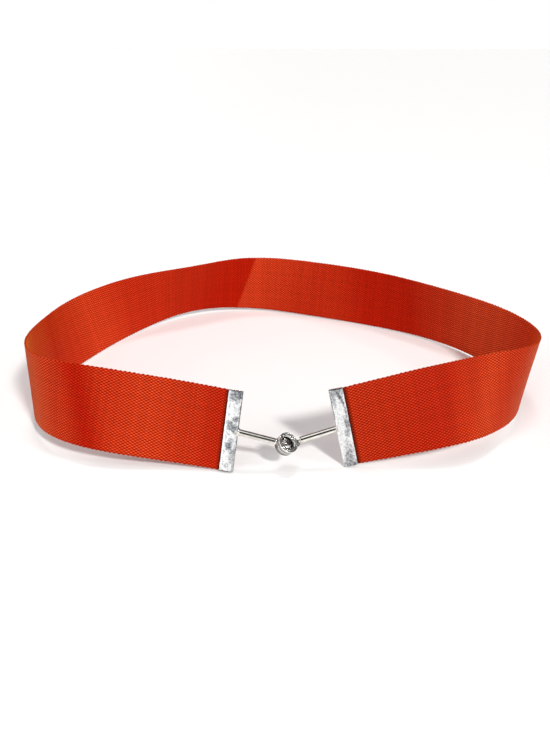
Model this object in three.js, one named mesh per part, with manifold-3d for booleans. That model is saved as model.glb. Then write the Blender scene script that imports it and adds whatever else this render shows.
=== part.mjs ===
import * as THREE from "three";
import { ConvexGeometry } from "three/addons/geometries/ConvexGeometry.js";
import { mergeVertices } from "three/addons/utils/BufferGeometryUtils.js";
import Module from "manifold-3d";

// Canvas webbing belt with a metal clasp, standing on its lower edge as an open loop.
// Millimetres, +Z up, the clasp in front towards -Y, the origin under the middle of the loop.

const webbing = {
  width: 38,
  thickness: 1,
  edgeRound: 0.3,
  tongue: 4.2, // length of band held inside each clamp
  restHeight: 0.5, // raises the guide so that the lowest corner just touches the table
  stepsPerRow: 10,
};

const clamp = {
  depth: 6.5, // from the mouth to the outside of the fold
  sheet: 0.4,
  slot: 1.6,
  overhang: 0, // how far the folded sheet stands past each edge of the band
  foldSteps: 8,
};

const bar = { diameter: 3.1, sides: 16, collarDiameter: 3.7, collarLength: 1.4 };

// The round setting between the bars. faceTurn and faceTilt are the way that the stone looks,
// to the right of straight ahead and up from level.
const setting = {
  centre: new THREE.Vector3(-0.9, -96.5, 12.7),
  faceTurn: 48,
  faceTilt: 48,
  outerDiameter: 9.8,
  depth: 4.8,
  edgeRound: 0.6,
  pocketDiameter: 5.8,
  mouthDiameter: 6.6,
  pocketDepth: 3.4,
  seatDiameter: 1.6,
  sides: 32,
};

const stone = {
  diameter: 5.2,
  tableDiameter: 3,
  crownHeight: 0.9,
  girdleHeight: 0.2,
  pavilionHeight: 1.4,
  girdleBelowRim: 1.3,
  clearance: 0.3,
};

// The small ring at the right of the setting, and the hook on the right bar that hangs through it.
const catchRing = { holeDiameter: 1.7, wire: 0.9, fromCentre: 6.05, aboveMiddle: 0 };
const hook = { wire: 1, barEndFromCentre: 6.6, reachThrough: 1.4, steps: 18, sides: 10 };

// The band's lower edge, from the left clamp round the back to the right clamp, a row per 37 mm.
// x, y: place on the table. lift: height above it. lean: degrees that the top leans into the loop.
const guide = [
  { x: -31.5, y: -99.5, lift: 0.5, lean: 16 },
  { x: -58.5, y: -96.5, lift: 3.5, lean: 23 },
  { x: -88, y: -96.5, lift: 8.5, lean: 32 },
  { x: -118, y: -82, lift: 7.5, lean: 6 },
  { x: -134.5, y: -49.5, lift: 4.5, lean: 0 },
  { x: -131, y: -10, lift: 1, lean: -5 },
  { x: -117.5, y: 28.5, lift: 0, lean: -19 },
  { x: -96, y: 65.5, lift: 0.5, lean: 1 },
  { x: -65.5, y: 94.5, lift: 4, lean: 24 },
  { x: -23, y: 105, lift: 1, lean: -2 },
  { x: 17, y: 89.5, lift: 0.5, lean: -12 },
  { x: 58, y: 73, lift: 0, lean: -5 },
  { x: 95, y: 49.5, lift: 1, lean: 8 },
  { x: 123.5, y: 16.5, lift: 0.5, lean: 4 },
  { x: 132, y: -23.5, lift: 0, lean: -13 },
  { x: 119.5, y: -57, lift: 3.5, lean: -4 },
  { x: 102.5, y: -77, lift: 7, lean: 19 },
  { x: 84.5, y: -93.5, lift: 11.5, lean: 33 },
  { x: 59, y: -96, lift: 7, lean: 17 },
  { x: 32.5, y: -95.5, lift: 1, lean: 9 },
];
const columns = ["x", "y", "lift", "lean"];

// A row past either end continues the line straight on.
function guideRow(i) {
  const last = guide.length - 1;
  if (i >= 0 && i <= last) return guide[i];
  const [end, inner] = i < 0 ? [guide[0], guide[1]] : [guide[last], guide[last - 1]];
  return Object.fromEntries(columns.map((name) => [name, 2 * end[name] - inner[name]]));
}

// The smooth curve (a uniform cubic B-spline) through the guide: its values and their slopes.
function guideAt(t) {
  const row = Math.min(Math.floor(t), guide.length - 2);
  const u = t - row;
  const weights = [(1 - u) ** 3, 3 * u ** 3 - 6 * u * u + 4, -3 * u ** 3 + 3 * u * u + 3 * u + 1, u ** 3];
  const slopes = [-((1 - u) ** 2), 3 * u * u - 4 * u, -3 * u * u + 2 * u + 1, u * u];
  const value = {};
  const slope = {};
  for (const name of columns) {
    value[name] = weights.reduce((sum, w, k) => sum + (w / 6) * guideRow(row - 1 + k)[name], 0);
    slope[name] = slopes.reduce((sum, w, k) => sum + (w / 2) * guideRow(row - 1 + k)[name], 0);
  }
  return { value, slope };
}

// The band's own directions at a place: along it, across its width (up), and out of its face.
function bandFrame(t) {
  const { value, slope } = guideAt(t);
  const along = new THREE.Vector3(slope.x, slope.y, slope.lift).normalize();
  const outward = new THREE.Vector3(-slope.y, slope.x, 0).normalize();
  const lean = THREE.MathUtils.degToRad(value.lean);
  const across = new THREE.Vector3(0, 0, Math.cos(lean)).addScaledVector(outward, -Math.sin(lean));
  across.addScaledVector(along, -across.dot(along)).normalize();
  const face = new THREE.Vector3().crossVectors(across, along);
  const edge = new THREE.Vector3(value.x, value.y, value.lift + webbing.restHeight);
  return { edge, along, across, face };
}

// The band's cross-section as a loop of places: through the cloth, and across its width.
function bandSection() {
  const half = webbing.thickness / 2;
  const round = webbing.edgeRound;
  const heights = [round, ...[0.25, 0.5, 0.75].map((f) => f * webbing.width), webbing.width - round];
  return [
    [-half + round, 0],
    [half - round, 0],
    ...heights.map((h) => [half, h]),
    [half - round, webbing.width],
    [-half + round, webbing.width],
    ...heights.reverse().map((h) => [-half, h]),
  ];
}

function bandGeometry() {
  const section = bandSection();
  const last = guide.length - 1;
  const frames = [];
  for (let i = 0; i <= last * webbing.stepsPerRow; i++) frames.push(bandFrame(i / webbing.stepsPerRow));
  const ends = [frames[0], frames[frames.length - 1]].map((frame, k) => {
    const edge = frame.edge.clone().addScaledVector(frame.along, (k ? 1 : -1) * webbing.tongue);
    return { ...frame, edge };
  });
  const stations = [ends[0], ...frames, ends[1]];

  const positions = [];
  for (const { edge, across, face } of stations) {
    for (const [through, height] of section) {
      positions.push(...edge.clone().addScaledVector(face, through).addScaledVector(across, height));
    }
  }
  const n = section.length;
  const triangles = [];
  for (let i = 0; i < stations.length - 1; i++) {
    for (let j = 0; j < n; j++) {
      const [a, b] = [i * n + j, i * n + ((j + 1) % n)];
      triangles.push(a, b, b + n, a, b + n, a + n);
    }
  }
  const top = (stations.length - 1) * n;
  for (let j = 1; j < n - 1; j++) {
    triangles.push(0, j + 1, j);
    triangles.push(top, top + j, top + j + 1);
  }
  const geometry = new THREE.BufferGeometry();
  geometry.setAttribute("position", new THREE.Float32BufferAttribute(positions, 3));
  geometry.setIndex(triangles);
  return geometry;
}

// A clamp's own place: x from the mouth to the fold, y through the cloth, z up along the band's end.
function clampPlace(side) {
  const frame = bandFrame(side === "left" ? 0 : guide.length - 1);
  const towardsFold = frame.along.clone().multiplyScalar(side === "left" ? -1 : 1);
  const through = new THREE.Vector3().crossVectors(frame.across, towardsFold);
  const place = new THREE.Matrix4().makeBasis(towardsFold, through, frame.across);
  return place.setPosition(frame.edge.addScaledVector(frame.across, webbing.width / 2));
}

// A slot of the given half-thickness, closed by a half-round fold, drawn from the clamp's mouth.
function slotOutline(path, half, start) {
  const straight = clamp.depth - clamp.slot / 2 - clamp.sheet;
  path.moveTo(start, half);
  path.lineTo(straight, half);
  path.absarc(straight, 0, half, Math.PI / 2, -Math.PI / 2, true);
  path.lineTo(start, -half);
  path.closePath();
  return path;
}

function clampPrism(half, start, length) {
  const shape = slotOutline(new THREE.Shape(), half, start);
  const options = { depth: length, bevelEnabled: false, curveSegments: clamp.foldSteps };
  return new THREE.ExtrudeGeometry(shape, options).translate(0, 0, -length / 2);
}

const faceTurn = THREE.MathUtils.degToRad(setting.faceTurn);
const faceTilt = THREE.MathUtils.degToRad(setting.faceTilt);
const faceWay = new THREE.Vector3(
  Math.cos(faceTilt) * Math.sin(faceTurn),
  -Math.cos(faceTilt) * Math.cos(faceTurn),
  Math.sin(faceTilt),
);

// Turns a shape made around +Y so that it stands at a place with its axis along a direction.
function stand(geometry, place, way) {
  const turn = new THREE.Quaternion().setFromUnitVectors(new THREE.Vector3(0, 1, 0), way);
  return geometry.applyQuaternion(turn).translate(place.x, place.y, place.z);
}

function rod(from, to, startDiameter, endDiameter) {
  const length = from.distanceTo(to);
  const geometry = new THREE.CylinderGeometry(endDiameter / 2, startDiameter / 2, length, bar.sides);
  return stand(geometry.translate(0, length / 2, 0), from, to.clone().sub(from).normalize());
}

// A bar soldered to the middle of a clamp's fold, with its collar of solder, up to a far end.
function soldered(place, farEnd) {
  const root = new THREE.Vector3(clamp.depth - clamp.sheet / 2, 0, 0).applyMatrix4(place);
  const way = farEnd.clone().sub(root).normalize();
  const collarEnd = root.clone().addScaledVector(way, clamp.sheet / 2 + bar.collarLength);
  return [
    rod(root, farEnd, bar.diameter, bar.diameter),
    rod(root, collarEnd, bar.collarDiameter, bar.diameter),
  ];
}

function lathe(profile) {
  return new THREE.LatheGeometry(profile.map(([r, h]) => new THREE.Vector2(r, h)), setting.sides);
}

// Heights are from the middle of the setting's depth.
function settingBody() {
  const [r, half, round] = [setting.outerDiameter / 2, setting.depth / 2, setting.edgeRound];
  return lathe([
    [0, -half],
    [r - round, -half],
    [r, -half + round],
    [r, half - round],
    [r - round * 0.3, half - round * 0.3],
    [r - round, half],
    [0, half],
  ]);
}

function settingPocket() {
  const rim = setting.depth / 2;
  const bevel = (setting.mouthDiameter - setting.pocketDiameter) / 2;
  const pocket = setting.pocketDiameter / 2;
  const girdleBelow = stone.girdleBelowRim + stone.girdleHeight + stone.clearance;
  return lathe([
    [0, rim - setting.pocketDepth],
    [setting.seatDiameter / 2, rim - setting.pocketDepth],
    [pocket, rim - girdleBelow],
    [pocket, rim - bevel],
    [pocket + 2 * bevel, rim + bevel],
    [0, rim + bevel],
  ]);
}

// A round brilliant: table, crown, girdle and pavilion, as rings of corners joined by flat facets.
function stoneGeometry() {
  const r = stone.diameter / 2;
  const rings = [
    { corners: 8, turn: 0, radius: stone.tableDiameter / 2, height: stone.crownHeight },
    { corners: 8, turn: 0.5, radius: r * 0.82, height: stone.crownHeight * 0.5 },
    { corners: 16, turn: 0, radius: r, height: 0 },
    { corners: 16, turn: 0, radius: r, height: -stone.girdleHeight },
    { corners: 8, turn: 0, radius: r * 0.2, height: -stone.girdleHeight - stone.pavilionHeight },
  ];
  const points = [];
  for (const ring of rings) {
    for (let i = 0; i < ring.corners; i++) {
      const angle = (2 * Math.PI * (i + ring.turn)) / ring.corners;
      points.push(new THREE.Vector3(ring.radius * Math.cos(angle), ring.height, ring.radius * Math.sin(angle)));
    }
  }
  const girdle = setting.centre.clone().addScaledVector(faceWay, setting.depth / 2 - stone.girdleBelowRim);
  return stand(new ConvexGeometry(points), girdle, faceWay);
}

// The ring lies in the setting's own plane, under the right bar's end.
function catchCentre(barWay) {
  const sideWay = barWay.clone().addScaledVector(faceWay, -barWay.dot(faceWay)).normalize();
  const centre = setting.centre.clone().addScaledVector(sideWay, catchRing.fromCentre);
  return { sideWay, centre: centre.addScaledVector(faceWay, catchRing.aboveMiddle) };
}

function catchGeometry(centre) {
  const middle = (catchRing.holeDiameter + catchRing.wire) / 2;
  const torus = new THREE.TorusGeometry(middle, catchRing.wire / 2, 8, 20).rotateX(Math.PI / 2);
  return stand(torus, centre, faceWay);
}

// The hook leaves the right bar's end, turns down through the ring and ends in a short toe.
function hookGeometry(barWay, ring) {
  const at = (distance) => setting.centre.clone().addScaledVector(barWay, distance);
  const below = (depth, along) =>
    ring.centre.clone().addScaledVector(faceWay, -depth).addScaledVector(ring.sideWay, along);
  const path = new THREE.CatmullRomCurve3([
    at(hook.barEndFromCentre + 1.2),
    at(hook.barEndFromCentre),
    below(-1.2, 0),
    below(0, 0),
    below(hook.reachThrough * 0.7, 0.1),
    below(hook.reachThrough, 0.7),
  ]);
  const circle = new THREE.Shape().absarc(0, 0, hook.wire / 2, 0, 2 * Math.PI, false);
  return new THREE.ExtrudeGeometry(circle, {
    steps: hook.steps,
    curveSegments: hook.sides,
    extrudePath: path,
  });
}

const wasm = await Module();
wasm.setup();

function solid(geometry) {
  const bare = new THREE.BufferGeometry();
  bare.setAttribute("position", geometry.getAttribute("position"));
  if (geometry.index) bare.setIndex(geometry.index);
  const merged = mergeVertices(bare, 1e-4);
  const vertProperties = new Float32Array(merged.getAttribute("position").array);
  const triVerts = new Uint32Array(merged.index.array);
  return new wasm.Manifold(new wasm.Mesh({ numProp: 3, vertProperties, triVerts }));
}

function geometryOf(manifold) {
  const mesh = manifold.getMesh();
  const geometry = new THREE.BufferGeometry();
  geometry.setAttribute("position", new THREE.Float32BufferAttribute(mesh.vertProperties, 3));
  geometry.setIndex(Array.from(mesh.triVerts));
  return geometry;
}

const slotLength = webbing.width + 2 * clamp.overhang;

// A folded clamp joined to what is soldered to it, with the band's slot and any pocket left open.
function claspHalf(place, joined, pockets) {
  let half = solid(clampPrism(clamp.slot / 2 + clamp.sheet, 0, slotLength).applyMatrix4(place));
  for (const geometry of joined) half = half.add(solid(geometry));
  const slot = clampPrism(clamp.slot / 2, -1, slotLength + 2).applyMatrix4(place);
  for (const geometry of [slot, ...pockets]) half = half.subtract(solid(geometry));
  return geometryOf(half);
}

const leftPlace = clampPlace("left");
const rightPlace = clampPlace("right");
const foldMiddle = (place) => new THREE.Vector3(clamp.depth, 0, 0).applyMatrix4(place);
const rightBarWay = foldMiddle(rightPlace).sub(setting.centre).normalize();
const ring = catchCentre(rightBarWay);
const rightBarEnd = setting.centre.clone().addScaledVector(rightBarWay, hook.barEndFromCentre);

const leftHalf = claspHalf(
  leftPlace,
  [
    ...soldered(leftPlace, setting.centre),
    stand(settingBody(), setting.centre, faceWay),
    catchGeometry(ring.centre),
  ],
  [stand(settingPocket(), setting.centre, faceWay)],
);
const rightHalf = claspHalf(
  rightPlace,
  [...soldered(rightPlace, rightBarEnd), hookGeometry(rightBarWay, ring)],
  [],
);

const canvas = { color: 0xc8321c, roughness: 0.85, metalness: 0 };
const polishedSteel = { color: 0xd6d8dc, roughness: 0.2, metalness: 1 };
const crystal = { color: 0xe9eef2, roughness: 0.03, metalness: 0, transparent: true, opacity: 0.5 };

function piece(name, geometry, finish) {
  const mesh = new THREE.Mesh(geometry, new THREE.MeshStandardMaterial(finish));
  mesh.name = name;
  return mesh;
}

const belt = new THREE.Group();
belt.add(
  piece("webbing_band", bandGeometry(), canvas),
  piece("left_clasp_half", leftHalf, polishedSteel),
  piece("right_clasp_half", rightHalf, polishedSteel),
  piece("crystal", stoneGeometry(), crystal),
);

export default belt;
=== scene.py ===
import math

import bmesh
import bpy
import numpy as np
from mathutils import Matrix, Vector, noise


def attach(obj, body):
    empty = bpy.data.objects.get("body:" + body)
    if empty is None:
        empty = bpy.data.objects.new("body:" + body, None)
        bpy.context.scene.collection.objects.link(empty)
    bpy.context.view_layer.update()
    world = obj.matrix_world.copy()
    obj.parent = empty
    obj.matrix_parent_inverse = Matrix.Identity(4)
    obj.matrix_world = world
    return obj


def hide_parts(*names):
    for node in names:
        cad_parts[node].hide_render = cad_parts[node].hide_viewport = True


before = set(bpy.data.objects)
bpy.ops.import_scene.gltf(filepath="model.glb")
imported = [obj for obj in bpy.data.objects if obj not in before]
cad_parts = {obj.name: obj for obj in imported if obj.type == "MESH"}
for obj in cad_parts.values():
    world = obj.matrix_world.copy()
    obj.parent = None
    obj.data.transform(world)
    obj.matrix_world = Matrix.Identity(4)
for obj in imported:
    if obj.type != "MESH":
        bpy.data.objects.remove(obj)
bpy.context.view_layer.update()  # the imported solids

mm = 0.001
scene = bpy.context.scene
print("belt: frame loaded,", len(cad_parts), "solids")


# Camera: the photo's own place and angle, worked out for an image of 550 x 733
photoCamera = {
    "place": Vector((-5.9, -350.1, 178.4)) * mm,
    "pitchDown": 26.45,  # degrees below level
    "focalPixels": 661,
    "imageLongSide": 733,
    "sensor": 36.0,
    "clip": (10 * mm, 100),
}


def makeCamera(look):
    data = bpy.data.cameras.new("photoCamera")
    data.sensor_width = look["sensor"]
    data.lens = look["sensor"] * look["focalPixels"] / look["imageLongSide"]
    data.clip_start, data.clip_end = look["clip"]
    camera = bpy.data.objects.new("photoCamera", data)
    camera.location = look["place"]
    camera.rotation_euler = (math.radians(90 - look["pitchDown"]), 0, 0)
    scene.collection.objects.link(camera)
    scene.camera = camera


makeCamera(photoCamera)
print("belt: camera set")


# Small helpers for directions, meshes and node trees
def wayOf(turn, height):
    turn, height = math.radians(turn), math.radians(height)
    return Vector((math.cos(height) * math.sin(turn), -math.cos(height) * math.cos(turn), math.sin(height)))


def newPiece(name, points, faces, smooth=True):
    mesh = bpy.data.meshes.new(name)
    mesh.from_pydata([tuple(p) for p in points], [], faces)
    mesh.update()
    if smooth:
        mesh.shade_smooth()
    obj = bpy.data.objects.new(name, mesh)
    scene.collection.objects.link(obj)
    return obj


def bakeModifiers(obj):
    depsgraph = bpy.context.evaluated_depsgraph_get()
    made = bpy.data.meshes.new_from_object(obj.evaluated_get(depsgraph))
    obj.modifiers.clear()
    before = obj.data
    obj.data = made
    bpy.data.meshes.remove(before)
    made.name = obj.name
    return obj


def faceOutwards(obj):
    work = bmesh.new()
    work.from_mesh(obj.data)
    bmesh.ops.recalc_face_normals(work, faces=work.faces)
    work.to_mesh(obj.data)
    work.free()
    obj.data.update()
    return obj


def setPointValues(obj, label, values, kind="FLOAT"):
    attribute = obj.data.attributes.new(label, kind, "POINT")
    member = "vector" if kind == "FLOAT_VECTOR" else "value"
    attribute.data.foreach_set(member, np.asarray(values, dtype=np.float32).ravel())


# Every piece belongs to the one body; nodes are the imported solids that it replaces
def dress(obj, slotName, *nodes):
    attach(obj, "root")
    if nodes:
        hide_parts(*nodes)
    return obj


# inputs are plain values or the outputs of other nodes
def addNode(tree, kind, inputs=None, **settings):
    node = tree.nodes.new(kind)
    for key, value in settings.items():
        setattr(node, key, value)
    for key, value in (inputs or {}).items():
        if isinstance(value, bpy.types.NodeSocket):
            tree.links.new(value, node.inputs[key])
        else:
            node.inputs[key].default_value = value
    return node


def calc(tree, operation, *values):
    return addNode(tree, "ShaderNodeMath", dict(enumerate(values)), operation=operation).outputs[0]


def times(tree, first, second):
    return calc(tree, "MULTIPLY", first, second)


def remap(tree, value, low, high, newLow=0.0, newHigh=1.0, smooth=False):
    limits = {"Value": value, "From Min": low, "From Max": high, "To Min": newLow, "To Max": newHigh}
    kind = "SMOOTHSTEP" if smooth else "LINEAR"
    return addNode(tree, "ShaderNodeMapRange", limits, interpolation_type=kind).outputs["Result"]


def scaled(tree, vector, share):
    node = addNode(tree, "ShaderNodeVectorMath", {0: vector, "Scale": share}, operation="SCALE")
    return node.outputs["Vector"]


def splitVector(tree, vector):
    return addNode(tree, "ShaderNodeSeparateXYZ", {"Vector": vector}).outputs


def mixColours(tree, share, first, second):
    ends = [(*colour, 1) if isinstance(colour, tuple) else colour for colour in (first, second)]
    node = addNode(tree, "ShaderNodeMix", {"Factor": share, 6: ends[0], 7: ends[1]}, data_type="RGBA")
    return node.outputs[2]


def readShade(tree, label):
    return addNode(tree, "ShaderNodeAttribute", attribute_name=label).outputs["Fac"]


def newTree(name, kind, inputs, outputs):
    tree = bpy.data.node_groups.new(name, kind)
    for way, sockets in (("INPUT", inputs), ("OUTPUT", outputs)):
        for label, holds in sockets.items():
            tree.interface.new_socket(label, in_out=way, socket_type="NodeSocket" + holds)
    return tree, addNode(tree, "NodeGroupInput"), addNode(tree, "NodeGroupOutput")


# Every geometry tree ends in real geometry with its material
def endTree(tree, geometry, material, out):
    real = addNode(tree, "GeometryNodeRealizeInstances", {"Geometry": geometry}).outputs["Geometry"]
    coated = addNode(tree, "GeometryNodeSetMaterial", {"Geometry": real, "Material": material})
    tree.links.new(coated.outputs["Geometry"], out.inputs["Geometry"])


def useTree(obj, tree, values):
    modifier = obj.modifiers.new(tree.name, "NODES")
    modifier.node_group = tree
    known = {item.name: item.identifier for item in tree.interface.items_tree if item.in_out == "INPUT"}
    for label, value in values.items():
        modifier[known[label]] = value
    return bakeModifiers(obj)


def newMaterial(name):
    material = bpy.data.materials.new(name)
    material.use_nodes = True
    tree = material.node_tree
    return material, tree, tree.nodes["Principled BSDF"]


def addBump(tree, shader, height, distance):
    bump = addNode(tree, "ShaderNodeBump", {"Distance": distance, "Height": height})
    tree.links.new(bump.outputs["Normal"], shader.inputs["Normal"])


webbing = {
    "width": 38 * mm,
    "thickness": 1.0 * mm,
    "tongue": 4.2 * mm,  # length held inside each clamp
    "restHeight": 0.5 * mm,
    "warps": 56,  # threads along the band, side by side across its width
    "weftPitch": 1.08 * mm,
    "relief": 0.06 * mm,  # how far each float stands above or below the mean
    "samplesPerRow": 60,
}
# Its lower edge from the left clamp round the back to the right clamp, in rows 24 to 44 mm apart: x, y and
# height off the table in mm, and how far the top leans into the loop, in degrees
guide = [
    (-31.5, -99.5, 0.5, 16),
    (-58.5, -96.5, 3.5, 23),
    (-88, -96.5, 8.5, 32),
    (-118, -82, 7.5, 6),
    (-134.5, -49.5, 4.5, 0),
    (-131, -10, 1, -5),
    (-117.5, 28.5, 0, -19),
    (-96, 65.5, 0.5, 1),
    (-65.5, 94.5, 4, 24),
    (-23, 105, 1, -2),
    (17, 89.5, 0.5, -12),
    (58, 73, 0, -5),
    (95, 49.5, 1, 8),
    (123.5, 16.5, 0.5, 4),
    (132, -23.5, 0, -13),
    (119.5, -57, 3.5, -4),
    (102.5, -77, 7, 19),
    (84.5, -93.5, 11.5, 33),
    (59, -96, 7, 17),
    (32.5, -95.5, 1, 9),
]
lastRow = len(guide) - 1
# Painted light and shade on the cloth, and the one real crease, in mm: distance along the band, how much
# later the mark comes at the top edge, its reach before and after, how much painted light it adds (below
# zero, painted shade), and how far it stands into the loop
creaseAndPaintedLight = [
    (2, 0, 4, 14, -0.3, 0),
    (36, 0, 22, 24, 0.3, 0),
    (68, 12, 13, 12, -0.5, 0),
    (92, 4, 14, 22, 0.3, 0),
    (160, 0, 9, 12, -0.25, 0),
    (204, -6, 34, 38, 0.45, 0),
    (322, 13, 75, 1.2, -0.35, 0),
    (323.2, 13, 1.2, 55, 0.45, 0),
    (323, 13, 9, 14, 0, 0.45),
    (430, -5, 50, 34, -0.5, 0),
    (500, 0, 45, 42, 0.75, 0),
    (604, -17, 15, 13, 0.4, 0),
    (630, -10, 12, 50, -0.3, 0),
]
# Painted shade: the even tone of each face, with the inner face darker
evenShade = {"outer": 0.5, "inner": 0.33}
# Painted shade: how far a black-brown painted shadow line reaches onto the cloth from each clamp's mouth, how
# fast that sets in, and how much painted shade darkens the outer face at its two ends
paintedShade = {"left": 1.6 * mm, "right": 1.9 * mm, "onset": 1.7, "paintedShadingShare": (0.12, 0.2)}


def unit(vectors):
    return vectors / np.linalg.norm(vectors, axis=-1, keepdims=True)


# A uniform cubic B-spline over the rows: its values and slopes at t, where t counts rows
def guideAt(t):
    rows = np.array(guide, dtype=float)
    rows = np.vstack([2 * rows[0] - rows[1], rows, 2 * rows[-1] - rows[-2]])
    row = np.minimum(np.floor(t).astype(int), lastRow - 1)
    u = t - row
    weights = np.stack([(1 - u) ** 3, 3 * u**3 - 6 * u * u + 4, -3 * u**3 + 3 * u * u + 3 * u + 1, u**3]) / 6
    slopes = np.stack([-((1 - u) ** 2), 3 * u * u - 4 * u, -3 * u * u + 2 * u + 1, u * u]) / 2
    near = rows[row[:, None] + np.arange(4)]
    return np.einsum("kn,nkc->nc", weights, near), np.einsum("kn,nkc->nc", slopes, near)


# The band's own directions: along it, across its width, and out of its face
def bandFrame(t):
    value, slope = guideAt(t)
    along = unit(slope[:, :3])
    outward = unit(np.stack([-slope[:, 1], slope[:, 0], np.zeros(len(t))], axis=1))
    lean = np.radians(value[:, 3:])
    across = np.cos(lean) * np.array([0, 0, 1]) - np.sin(lean) * outward
    across = unit(across - along * np.sum(across * along, axis=1, keepdims=True))
    edge = value[:, :3] * mm + np.array([0, 0, webbing["restHeight"]])
    return edge, along, across, np.cross(across, along)


# Frames at even steps of length along the band's middle line, tongues included
def bandStations():
    t = np.linspace(0, lastRow, lastRow * webbing["samplesPerRow"] + 1)
    edge, _, across, _ = bandFrame(t)
    middle = edge + across * webbing["width"] / 2
    run = np.concatenate([[0], np.cumsum(np.linalg.norm(np.diff(middle, axis=0), axis=1))])
    picks = round((run[-1] + 2 * webbing["tongue"]) / webbing["weftPitch"])
    places = np.linspace(-webbing["tongue"], run[-1] + webbing["tongue"], picks + 1)
    edge, along, across, face = bandFrame(np.interp(places, run, t))
    past = places - np.clip(places, 0, run[-1])
    print(f"belt: band length {places[-1] - places[0]:.4f} m, {picks} wefts")
    return edge + along * past[:, None], across, face, places


# The painted light and shade on the cloth and how far it stands in, at places along the band and heights up
# it
def creaseAndPaintedLightAt(places, heights):
    shade = np.zeros(np.broadcast(places, heights).shape)
    rise = np.zeros_like(shade)
    for place, later, before, after, paintedLight, standing in creaseAndPaintedLight:
        off = places / mm - place - later * (heights / webbing["width"] - 0.5)
        share = np.clip(1 - np.where(off < 0, -off / before, off / after), 0, 1)
        shade += paintedLight * share * share * (3 - 2 * share)
        rise += standing * mm * share
    return shade, rise


# Painted shadow line on the cloth at each clamp's mouth
def paintedShadeAt(distances):
    end = distances[-1] - webbing["tongue"]
    left = 1 - np.maximum(distances, 0) / paintedShade["left"]
    right = 1 - np.maximum(end - distances, 0) / paintedShade["right"]
    return np.clip(paintedShade["onset"] * np.maximum(left, right), 0, 1)


def makeBandMesh(stations):
    edge, across, face, distances = stations
    ends = webbing["warps"]
    heights = (np.arange(ends) + 0.5) * webbing["width"] / ends
    half = webbing["thickness"] / 2 - webbing["relief"]
    # one section: up the outer face, over the top edge, down the inner face, under the lower edge
    section = [(half, heights[j], j, 1) for j in range(ends)]
    section += [(0, webbing["width"], ends - 0.5, 0)]
    section += [(-half, heights[j], j, -1) for j in reversed(range(ends))]
    section += [(0, 0, -0.5, 0)]
    through, height, thread, side = np.array(section).T
    # painted light and shade from the marks, added to each face's even tone
    shade, rise = creaseAndPaintedLightAt(distances[:, None], height[None, :])
    shade = np.clip(shade + np.where(side < 0, evenShade["inner"], evenShade["outer"])[None, :], 0, 1)
    points = edge[:, None] + face[:, None] * (through[None, :] - rise)[..., None]
    points = points + across[:, None] * height[None, :, None]
    # painted shade on the outer face, growing towards the right end
    paintedShadingShare = np.interp(distances / distances[-1], (0, 1), paintedShade["paintedShadingShare"])
    count, n = len(edge), len(section)
    faces, places = [], []
    for i in range(count - 1):
        for j in range(n):
            k = (j + 1) % n
            a, b = i * n + j, i * n + k
            faces.append((a, b, b + n, a + n))
            pick = i + int(side[j] < 0 or side[k] < 0)  # the inner face shows the other half of the crossings
            places += [(pick, thread[j]), (pick, thread[k]), (pick + 1, thread[k]), (pick + 1, thread[j])]
    for i in (0, count - 1):
        at = i * n
        for j in range(ends - 1):
            faces.append((at + j, at + j + 1, at + 2 * ends - j - 1, at + 2 * ends - j))
            places += [(i, j)] * 4
        faces.append((at + ends - 1, at + ends, at + ends + 1))
        faces.append((at, at + 2 * ends, at + n - 1))
        places += [(i, 0)] * 6
    band = newPiece("webbing_strip", points.reshape(-1, 3), faces)
    layer = band.data.uv_layers.new(name="Weave")
    layer.data.foreach_set("uv", np.array(places, dtype=np.float32).ravel())
    setPointValues(band, "pick", np.repeat(np.arange(count), n))
    setPointValues(band, "thread", np.tile(thread, count))
    setPointValues(band, "side", np.tile(side, count))
    setPointValues(band, "shade", shade)
    setPointValues(band, "paintedShade", np.maximum(paintedShadeAt(distances)[:, None], paintedShadingShare[:, None] * (side >= 0)[None, :]))
    return faceOutwards(band)


def readValues(tree, label, kind="FLOAT"):
    node = addNode(tree, "GeometryNodeInputNamedAttribute", {"Name": label}, data_type=kind)
    return node.outputs["Attribute"]


# Plain weave: 1 where the warp is on top, -1 where the weft is
def crossingOf(tree, pick, thread):
    waves = [calc(tree, "COSINE", times(tree, value, math.pi)) for value in (pick, thread)]
    return times(tree, *waves)


# Lifts and lowers the crossings along the surface's normals
def makeWeaveTree():
    tree, given, out = newTree(
        "plainWeaveRelief",
        "GeometryNodeTree",
        {"Geometry": "Geometry", "Relief": "Float", "Yarn": "Material"},
        {"Geometry": "Geometry"},
    )
    pick, thread, side = (readValues(tree, label) for label in ("pick", "thread", "side"))
    crossing = times(tree, crossingOf(tree, pick, thread), side)
    height = times(tree, crossing, given.outputs["Relief"])
    lift = scaled(tree, addNode(tree, "GeometryNodeInputNormal").outputs["Normal"], height)
    move = addNode(tree, "GeometryNodeSetPosition", {"Geometry": given.outputs["Geometry"], "Offset": lift})
    endTree(tree, move.outputs["Geometry"], given.outputs["Yarn"], out)
    return tree


# The selvedge: each weft turns round the outermost thread and goes back in, a loop per two wefts
selvedge = {
    "loopRadius": 0.36 * mm,
    "yarnRadius": 0.13 * mm,
    "inset": 0.75,  # how far in from the edge the loop is centred, in loop radii
    "firstWefts": (5, 6),  # along the lower and the upper edge
    "bareWefts": 5,  # left plain at the right end, inside the clamp
    "arcStart": -25,
    "arcSweep": 230,
    "arcSteps": 8,
    "yarnSides": 6,
    "seed": 7,
    "jitter": 0.12,
}


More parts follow.
